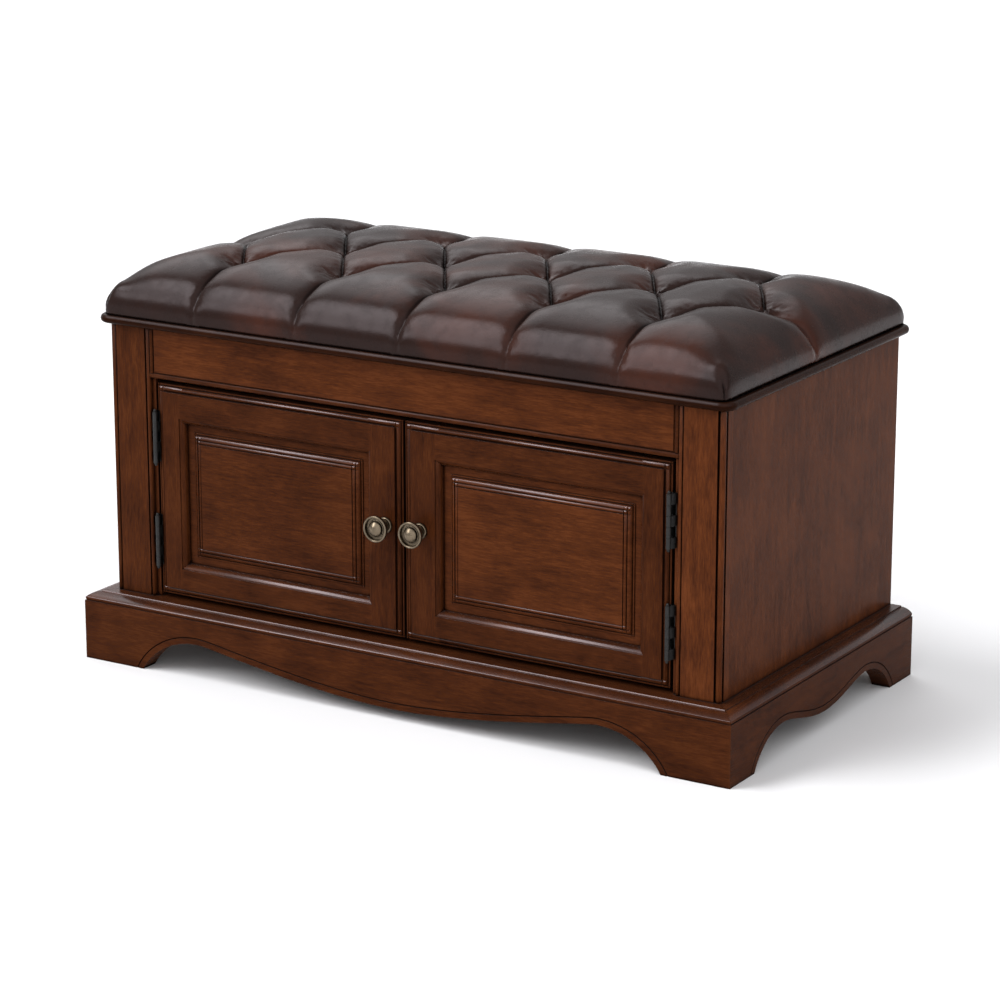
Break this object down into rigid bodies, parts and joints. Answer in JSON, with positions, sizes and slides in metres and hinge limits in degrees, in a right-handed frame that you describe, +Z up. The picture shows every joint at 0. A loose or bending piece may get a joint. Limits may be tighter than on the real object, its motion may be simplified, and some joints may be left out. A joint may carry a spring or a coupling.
{
  "type": "storage bench",
  "caption": "Low storage bench in dark stained wood with a diamond-tufted leather seat, framed panel doors, dished ring knobs and a moulded plinth on bracket feet",
  "frame": {"origin": "centre of the overall footprint, on the floor", "axes": "+X to the right seen from the front, along the length; +Y to the back; +Z up; the doors face -Y"},
  "size_m": [0.82, 0.442, 0.4715],
  "materials": {
    "stained_wood": "satin",
    "inner_wood": "satin",
    "plywood": "matte",
    "leather": "satin",
    "padding": "matte",
    "antique_metal": "satin",
    "dark_bronze": "satin",
    "steel": "satin"
  },
  "bodies": {
    "case": {"plinth_front": "stained_wood", "plinth_left": "stained_wood", "plinth_right": "stained_wood", "plinth_back": "inner_wood", "corner_blocks": "plywood", "base_front": "stained_wood", "base_left": "stained_wood", "base_right": "stained_wood", "base_screws": "steel", "side_left": "stained_wood", "side_right": "stained_wood", "bottom_board": "inner_wood", "back_panel": "inner_wood", "pilaster_left": "stained_wood", "pilaster_right": "stained_wood", "fascia": "stained_wood", "fascia_bead": "stained_wood", "door_stop_rail": "inner_wood", "stretcher_front": "inner_wood", "stretcher_back": "inner_wood", "shelf": "stained_wood", "shelf_pins": "steel", "seat_board": "stained_wood", "seat_deck": "plywood", "seat_screws": "steel", "cushion_foam": "padding", "cushion_cover": "leather", "tuft_ties": "padding", "hinge_case_leaves": "dark_bronze", "hinge_pins": "dark_bronze", "hinge_case_screws": "dark_bronze", "catches": "dark_bronze", "catch_screws": "steel"},
    "left_door": {"left_hinge_stile": "stained_wood", "left_lock_stile": "stained_wood", "left_top_rail": "stained_wood", "left_bottom_rail": "stained_wood", "left_panel": "stained_wood", "left_hinge_leaves": "dark_bronze", "left_hinge_screws": "dark_bronze", "left_knob": "antique_metal", "left_knob_screw": "steel", "left_strike": "steel"},
    "right_door": {"right_hinge_stile": "stained_wood", "right_lock_stile": "stained_wood", "right_top_rail": "stained_wood", "right_bottom_rail": "stained_wood", "right_panel": "stained_wood", "right_hinge_leaves": "dark_bronze", "right_hinge_screws": "dark_bronze", "right_knob": "antique_metal", "right_knob_screw": "steel", "right_strike": "steel"}
  },
  "joints": [
    {"name": "left_door_hinge", "type": "hinge", "parent": "case", "child": "left_door", "pos_m": [-0.3226, -0.197, 0.2], "axis": [0, 0, -1], "range_deg": [0, 170]},
    {"name": "right_door_hinge", "type": "hinge", "parent": "case", "child": "right_door", "pos_m": [0.3226, -0.197, 0.2], "axis": [0, 0, 1], "range_deg": [0, 170]}
  ]
}
